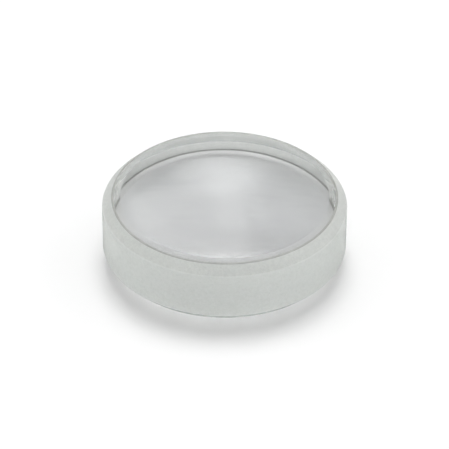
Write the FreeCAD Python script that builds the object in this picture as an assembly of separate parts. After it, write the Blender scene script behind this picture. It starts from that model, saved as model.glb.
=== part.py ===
import FreeCAD, Part
import math
import os

os.makedirs("parts", exist_ok=True)

# Driving dimensions in millimetres
diameter = 25.0
face_radius = 60.0
edge_thickness = 6.8
bevel_size = 1.0
land_width = 0.85

# Radii of the outline, from the axis outwards
outer_radius = diameter / 2
rim_radius = outer_radius - bevel_size
face_edge_radius = rim_radius - land_width

# Heights above the lowest point of the lower face
face_rise = face_radius - math.sqrt(face_radius**2 - face_edge_radius**2)
centre_thickness = edge_thickness + 2 * face_rise
lower_land_height = face_rise
upper_land_height = lower_land_height + edge_thickness
wall_foot_height = lower_land_height + bevel_size
wall_top_height = upper_land_height - bevel_size


def outline_point(radius, height):
    """A point of the half outline, in the plane that holds the axis."""
    return FreeCAD.Vector(radius, 0, height)


def face_arc(centre_height, direction):
    """The curved face from the axis to its edge, bulging up for 1 and down for -1."""
    half_angle = math.asin(face_edge_radius / face_radius) / 2
    apex = outline_point(0, centre_height + direction * face_radius)
    middle_radius = face_radius * math.sin(half_angle)
    middle_rise = face_radius * math.cos(half_angle)
    middle = outline_point(middle_radius, centre_height + direction * middle_rise)
    edge_rise = math.sqrt(face_radius**2 - face_edge_radius**2)
    edge = outline_point(face_edge_radius, centre_height + direction * edge_rise)
    return Part.Arc(apex, middle, edge).toShape()


def edge_lines():
    """The flat lands, the ground bevels and the ground cylinder, from the lower face to the upper."""
    corners = [
        outline_point(face_edge_radius, lower_land_height),
        outline_point(rim_radius, lower_land_height),
        outline_point(outer_radius, wall_foot_height),
        outline_point(outer_radius, wall_top_height),
        outline_point(rim_radius, upper_land_height),
        outline_point(face_edge_radius, upper_land_height),
    ]
    return [Part.makeLine(start, end) for start, end in zip(corners, corners[1:])]


def lens():
    """The whole lens, turned as one solid about the optical axis."""
    lower_face = face_arc(face_radius, -1)
    upper_face = face_arc(centre_thickness - face_radius, 1)
    axis_line = Part.makeLine(outline_point(0, centre_thickness), outline_point(0, 0))
    edges = [lower_face, *edge_lines(), upper_face, axis_line]
    outline = Part.Wire(Part.__sortEdges__(edges))
    origin = FreeCAD.Vector(0, 0, 0)
    optical_axis = FreeCAD.Vector(0, 0, 1)
    return Part.Face(outline).revolve(origin, optical_axis, 360)


lens().exportStep("parts/lens.step")
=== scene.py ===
import math

import bmesh
import bpy
from mathutils import Matrix, Vector

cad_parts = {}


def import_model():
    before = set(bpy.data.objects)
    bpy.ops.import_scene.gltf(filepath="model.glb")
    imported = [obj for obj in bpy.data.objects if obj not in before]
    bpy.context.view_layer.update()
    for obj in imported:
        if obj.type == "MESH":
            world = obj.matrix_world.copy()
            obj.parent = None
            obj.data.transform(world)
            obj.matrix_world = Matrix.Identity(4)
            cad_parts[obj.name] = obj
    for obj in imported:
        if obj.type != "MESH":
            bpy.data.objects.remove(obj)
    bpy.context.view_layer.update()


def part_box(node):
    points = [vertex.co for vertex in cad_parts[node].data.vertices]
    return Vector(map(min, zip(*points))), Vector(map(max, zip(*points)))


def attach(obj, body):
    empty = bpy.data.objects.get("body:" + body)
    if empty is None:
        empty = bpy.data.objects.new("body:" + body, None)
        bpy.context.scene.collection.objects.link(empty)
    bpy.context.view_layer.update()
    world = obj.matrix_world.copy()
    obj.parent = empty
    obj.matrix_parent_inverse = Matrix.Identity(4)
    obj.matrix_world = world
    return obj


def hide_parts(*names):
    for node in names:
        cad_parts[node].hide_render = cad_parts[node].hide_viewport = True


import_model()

# Sizes of the lens in metres, the overall ones read from the frame
lens_low, lens_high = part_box("lens")
outer_radius = (lens_high.x - lens_low.x) / 2
middle_height = (lens_low.z + lens_high.z) / 2
face_radius = 0.0600
edge_thickness = 0.0068
bevel_size = 0.0010
land_width = 0.00085
rim_radius = outer_radius - bevel_size
face_edge_radius = rim_radius - land_width
land_height = edge_thickness / 2

# Small roundings at the two edges of each bevel, which both open at 135 degrees
rim_rounding = 0.00020
foot_rounding = 0.00030
half_corner = math.radians(67.5)
rim_reach = rim_rounding / math.tan(half_corner)
foot_reach = foot_rounding / math.tan(half_corner)

# How far in from the rim the thin line on each land reaches, a line darkened with painted shade, and a hair
# for comparing radii
rim_line = 0.00016
hair = 1e-7

# Fineness of the mesh
turns_around = 384
face_rings = 72
corner_steps = 4
sharp_angle = math.radians(8)

# Grain of the surfaces, in waves to the metre, and the depth of the ground grain
ground_grain = 6000
ground_mottle = 2600
wiping_marks = 1500
wiping_stretch = 0.2
floor_mottle = 3
grain_depth = 0.00005

# The part of a noise value that is spread over a whole range of tones
noise_low = 0.35
noise_high = 0.65

# Refractive index of crown glass
glass_index = 1.5168

# Camera, fitted to the outline and the rim of the photograph
frame_pixels = 449
pixels_per_radius = 121.95
camera_elevation = math.radians(36.28)
camera_distance = 26.25 * outer_radius
camera_roll = -0.008
centre_above_frame_middle = 1.86
sensor_millimetres = 36
nearest_seen = 0.01
farthest_seen = 20

# Studio: half the width of the floor, how far off most soft boxes stand, and the strength of the world
floor_reach = 6.0
box_distance = 1.4
world_strength = 0.39


def outline():
    """The half outline as (radius, height) from the top to the bottom, about the middle height."""
    arc_centre = land_height - math.sqrt(face_radius**2 - face_edge_radius**2)
    upper = []
    for ring in range(face_rings + 1):
        radius = face_edge_radius * ring / face_rings
        upper.append((radius, arc_centre + math.sqrt(face_radius**2 - radius**2)))
    face_edge = (face_edge_radius, land_height)
    rim = (rim_radius, land_height)
    bevel_foot = (outer_radius, land_height - bevel_size)
    wall_middle = (outer_radius, 0)
    upper.append((rim_radius - rim_line, land_height))
    upper += rounded_corner(face_edge, rim, bevel_foot, rim_rounding)
    upper += rounded_corner(rim, bevel_foot, wall_middle, foot_rounding)
    lower = [(radius, -height) for radius, height in reversed(upper)]
    return upper + lower


def rounded_corner(before, corner, after, rounding):
    """Points of a small arc that rounds a corner of the outline."""
    corner = Vector(corner)
    towards_before = (Vector(before) - corner).normalized()
    towards_after = (Vector(after) - corner).normalized()
    half_angle = towards_before.angle(towards_after) / 2
    reach = rounding / math.tan(half_angle)
    start = corner + towards_before * reach
    end = corner + towards_after * reach
    points = []
    for step in range(corner_steps + 1):
        share = step / corner_steps
        point = start.lerp(corner, share).lerp(corner.lerp(end, share), share)
        points.append((point.x, point.y))
    return points


def surface_between(above, below):
    """Names the surface between two neighbouring points of the outline."""
    nearest = min(above[0], below[0])
    farthest = max(above[0], below[0])
    side = "upper" if above[1] > 0 else "lower"
    if nearest > outer_radius - foot_reach / math.sqrt(2) - hair:
        return "wall"
    if farthest < face_edge_radius + hair:
        return "face"
    if farthest < rim_radius - rim_line + hair:
        return "land"
    if farthest < rim_radius + rim_reach:
        return side + "_rim"
    return side + "_bevel"


def lens_piece():
    """The whole lens, turned from its outline as one closed mesh."""
    materials = {
        "face": polished_face(),
        "land": polished_land(),
        "upper_rim": upper_rim(),
        "lower_rim": lower_rim(),
        "wall": ground_wall(),
        "upper_bevel": upper_bevel(),
        "lower_bevel": lower_bevel(),
    }
    slots = list(materials)
    points = outline()
    shape = bmesh.new()
    rows = [row_of_points(shape, radius, middle_height + height) for radius, height in points]
    for index in range(1, len(points)):
        upper, lower = rows[index - 1], rows[index]
        slot = slots.index(surface_between(points[index - 1], points[index]))
        for step in range(turns_around):
            following = (step + 1) % turns_around
            if len(upper) == 1:
                corners = (upper[0], lower[step], lower[following])
            elif len(lower) == 1:
                corners = (upper[step], lower[0], upper[following])
            else:
                corners = (upper[step], lower[step], lower[following], upper[following])
            face = shape.faces.new(corners)
            face.material_index = slot
            face.smooth = True
    bmesh.ops.recalc_face_normals(shape, faces=shape.faces)
    mesh = bpy.data.meshes.new("lens_glass")
    shape.to_mesh(mesh)
    shape.free()
    mesh.set_sharp_from_angle(angle=sharp_angle)
    for material in materials.values():
        mesh.materials.append(material)
    piece = bpy.data.objects.new("lens_glass", mesh)
    bpy.context.scene.collection.objects.link(piece)
    return piece


def row_of_points(shape, radius, level):
    """One circle of mesh points about the optical axis, or a single point on the axis."""
    if radius == 0:
        return [shape.verts.new((0, 0, level))]
    turn = 2 * math.pi / turns_around
    row = []
    for step in range(turns_around):
        place = (radius * math.cos(step * turn), radius * math.sin(step * turn), level)
        row.append(shape.verts.new(place))
    return row


def new_material(name):
    """A node material, with its node tree and its Principled shader."""
    material = bpy.data.materials.new(name)
    material.use_nodes = True
    tree = material.node_tree
    shader = tree.nodes["Principled BSDF"]
    return material, tree, shader


def object_place(tree, stretch=1.0):
    """The place on the object in metres, where a stretch under 1 draws a pattern out from left to right."""
    place = tree.nodes.new("ShaderNodeTexCoord").outputs["Object"]
    mapping = tree.nodes.new("ShaderNodeMapping")
    mapping.inputs["Scale"].default_value = (stretch, 1, 1)
    tree.links.new(place, mapping.inputs["Vector"])
    return mapping.outputs["Vector"]


def noise(tree, scale, detail, stretch=1.0):
    """A noise texture in the object's own metres."""
    texture = tree.nodes.new("ShaderNodeTexNoise")
    texture.inputs["Scale"].default_value = scale
    texture.inputs["Detail"].default_value = detail
    tree.links.new(object_place(tree, stretch), texture.inputs["Vector"])
    return texture.outputs["Fac"]


def spread(tree, value, low, high):
    """Maps the middle part of a noise value to the range from low to high."""
    node = tree.nodes.new("ShaderNodeMapRange")
    node.inputs["From Min"].default_value = noise_low
    node.inputs["From Max"].default_value = noise_high
    node.inputs["To Min"].default_value = low
    node.inputs["To Max"].default_value = high
    tree.links.new(value, node.inputs["Value"])
    return node.outputs["Result"]


def blend_colours(tree, value, first, second):
    """Runs from the first colour to the second over the middle part of a noise value."""
    node = tree.nodes.new("ShaderNodeValToRGB")
    node.color_ramp.elements[0].position = noise_low
    node.color_ramp.elements[1].position = noise_high
    node.color_ramp.elements[0].color = (*first, 1)
    node.color_ramp.elements[1].color = (*second, 1)
    tree.links.new(value, node.inputs["Fac"])
    return node.outputs["Color"]


def average(tree, first, second):
    """The mean of two values."""
    node = tree.nodes.new("ShaderNodeMix")
    node.inputs["Factor"].default_value = 0.5
    tree.links.new(first, node.inputs["A"])
    tree.links.new(second, node.inputs["B"])
    return node.outputs["Result"]


def bump(tree, shader, value, strength):
    """Raises the surface by the value, up to the depth of the ground grain."""
    node = tree.nodes.new("ShaderNodeBump")
    node.inputs["Strength"].default_value = strength
    node.inputs["Distance"].default_value = grain_depth
    tree.links.new(value, node.inputs["Height"])
    tree.links.new(node.outputs["Normal"], shader.inputs["Normal"])


def polished_glass(name, dark, light):
    """Clear glass between two tints, with the thinnest trace of wiping left on it."""
    material, tree, shader = new_material(name)
    shader.inputs["IOR"].default_value = glass_index
    shader.inputs["Transmission Weight"].default_value = 1.0
    wiping = noise(tree, wiping_marks, 3, wiping_stretch)
    tint = blend_colours(tree, wiping, dark, light)
    tree.links.new(tint, shader.inputs["Base Color"])
    tree.links.new(spread(tree, wiping, 0.06, 0.14), shader.inputs["Roughness"])
    return material


def ground_glass(name, dark, light, smoothest, roughest, transmission, relief):
    """Ground glass between two tones and two degrees of roughness, with a relief from 0 to 1."""
    material, tree, shader = new_material(name)
    shader.inputs["IOR"].default_value = glass_index
    shader.inputs["Transmission Weight"].default_value = transmission
    grain = noise(tree, ground_grain, 3)
    mottle = noise(tree, ground_mottle, 4)
    colour = blend_colours(tree, average(tree, grain, mottle), dark, light)
    tree.links.new(colour, shader.inputs["Base Color"])
    tree.links.new(spread(tree, grain, smoothest, roughest), shader.inputs["Roughness"])
    bump(tree, shader, grain, relief)
    return material


def polished_face():
    """The two curved faces, faintly grey."""
    return polished_glass("polished_face", (0.832, 0.840, 0.846), (0.858, 0.865, 0.870))


def polished_land():
    """The flat lands, a little greyer than the faces."""
    return polished_glass("polished_land", (0.765, 0.770, 0.765), (0.805, 0.810, 0.805))


def upper_rim():
    """The fine line along the upper rim, its dark grey a painted shade for the shadow at the edge."""
    return ground_glass("upper_rim", (0.30, 0.305, 0.29), (0.44, 0.445, 0.42), 0.45, 0.55, 0.3, 0.1)


def lower_rim():
    """The fine line along the lower rim, darkened with painted shade so that it shows dark through the
    glass.
    """
    return ground_glass("lower_rim", (0.20, 0.205, 0.19), (0.30, 0.305, 0.285), 0.45, 0.55, 0.3, 0.1)


def ground_wall():
    """The ground cylinder: pale, matt, and lit from within."""
    return ground_glass("ground_wall", (0.83, 0.86, 0.83), (0.97, 0.995, 0.97), 0.70, 0.85, 0.8, 0.4)


def upper_bevel():
    """The upper bevel, ground a little finer than the cylinder, and painted greyer as shade for the less
    light it gets facing upward.
    """
    return ground_glass("ground_bevel", (0.66, 0.68, 0.655), (0.81, 0.83, 0.80), 0.40, 0.50, 0.7, 0.3)


def lower_bevel():
    """The lower bevel, fine enough to let the table show through, its dark tint a painted shade for the
    shadow under the rim.
    """
    return ground_glass("lower_bevel", (0.44, 0.46, 0.435), (0.60, 0.62, 0.595), 0.40, 0.50, 1.0, 0.1)


def floor_material():
    """Plain white matt table top."""
    material, tree, shader = new_material("floor")
    shader.inputs["Specular IOR Level"].default_value = 0.0
    shader.inputs["Roughness"].default_value = 1.0
    colour = blend_colours(tree, noise(tree, floor_mottle, 4), (0.93, 0.93, 0.93), (0.94, 0.94, 0.94))
    tree.links.new(colour, shader.inputs["Base Color"])
    return material


def floor():
    """A wide flat floor at the lowest point of the lens."""
    mesh = bpy.data.meshes.new("floor")
    corners = [
        (-floor_reach, -floor_reach, 0),
        (floor_reach, -floor_reach, 0),
        (floor_reach, floor_reach, 0),
        (-floor_reach, floor_reach, 0),
    ]
    mesh.from_pydata(corners, [], [(0, 1, 2, 3)])
    mesh.materials.append(floor_material())
    piece = bpy.data.objects.new("floor", mesh)
    bpy.context.scene.collection.objects.link(piece)


def lamp(name, azimuth, elevation, width, height, power, distance=box_distance, fan=180):
    """A soft box that looks at the lens from an azimuth, where 0 is behind it and 90 is to its right.

    The fan in degrees is how widely its light spreads."""
    azimuth, elevation = math.radians(azimuth), math.radians(elevation)
    direction = Vector(
        (
            math.sin(azimuth) * math.cos(elevation),
            math.cos(azimuth) * math.cos(elevation),
            math.sin(elevation),
        )
    )
    light = bpy.data.lights.new(name, "AREA")
    light.shape = "RECTANGLE"
    light.size = width
    light.size_y = height
    light.energy = power
    light.spread = math.radians(fan)
    holder = bpy.data.objects.new(name, light)
    holder.location = Vector((0, 0, middle_height)) + direction * distance
    holder.rotation_mode = "QUATERNION"
    holder.rotation_quaternion = (-direction).to_track_quat("-Z", "Y")
    bpy.context.scene.collection.objects.link(holder)


def lamps():
    """The soft boxes: three behind that the lower face mirrors as the glow, the rest around the edge."""
    lamp("top_box", 5, 74, 1.04, 1.04, power=1.344, fan=42)
    lamp("window_box", -7, 53, 0.40, 0.96, power=0.304, fan=80)
    lamp("side_window_box", -24, 42, 0.40, 1.36, power=0.192, fan=80)
    lamp("left_rear_box", -62, 24, 1.60, 1.60, power=2.56)
    lamp("right_rear_box", 58, 24, 1.60, 1.60, power=4.32)
    lamp("left_box", -95, 24, 2.00, 1.60, power=5.28)
    lamp("right_box", 95, 24, 2.00, 1.60, power=5.92)
    lamp("front_box", 180, 32, 2.40, 2.00, power=4.80, distance=2.4)


def world():
    """Even pale surroundings."""
    surroundings = bpy.data.worlds.new("world")
    surroundings.use_nodes = True
    background = surroundings.node_tree.nodes["Background"]
    background.inputs["Color"].default_value = (1, 1, 1, 1)
    background.inputs["Strength"].default_value = world_strength
    bpy.context.scene.world = surroundings


def camera():
    """A camera at the photograph's viewing angle, distance and framing."""
    metres_per_pixel = outer_radius / pixels_per_radius
    frame_width = frame_pixels * metres_per_pixel
    data = bpy.data.cameras.new("camera")
    data.sensor_width = sensor_millimetres
    data.lens = sensor_millimetres * camera_distance / frame_width
    data.clip_start = nearest_seen
    data.clip_end = farthest_seen
    backward = Vector((0, -math.cos(camera_elevation), math.sin(camera_elevation)))
    right = Matrix.Rotation(-camera_roll, 3, backward) @ Vector((1, 0, 0))
    up = backward.cross(right)
    lens_centre = Vector((0, 0, middle_height))
    place = lens_centre + backward * camera_distance - up * centre_above_frame_middle * metres_per_pixel
    axes = Matrix((right, up, backward)).transposed().to_4x4()
    holder = bpy.data.objects.new("camera", data)
    holder.matrix_world = Matrix.Translation(place) @ axes
    bpy.context.scene.collection.objects.link(holder)
    bpy.context.scene.camera = holder


lens = lens_piece()
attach(lens, "root")
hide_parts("lens")

floor()
world()
lamps()
camera()
bpy.context.scene.view_settings.view_transform = "Standard"
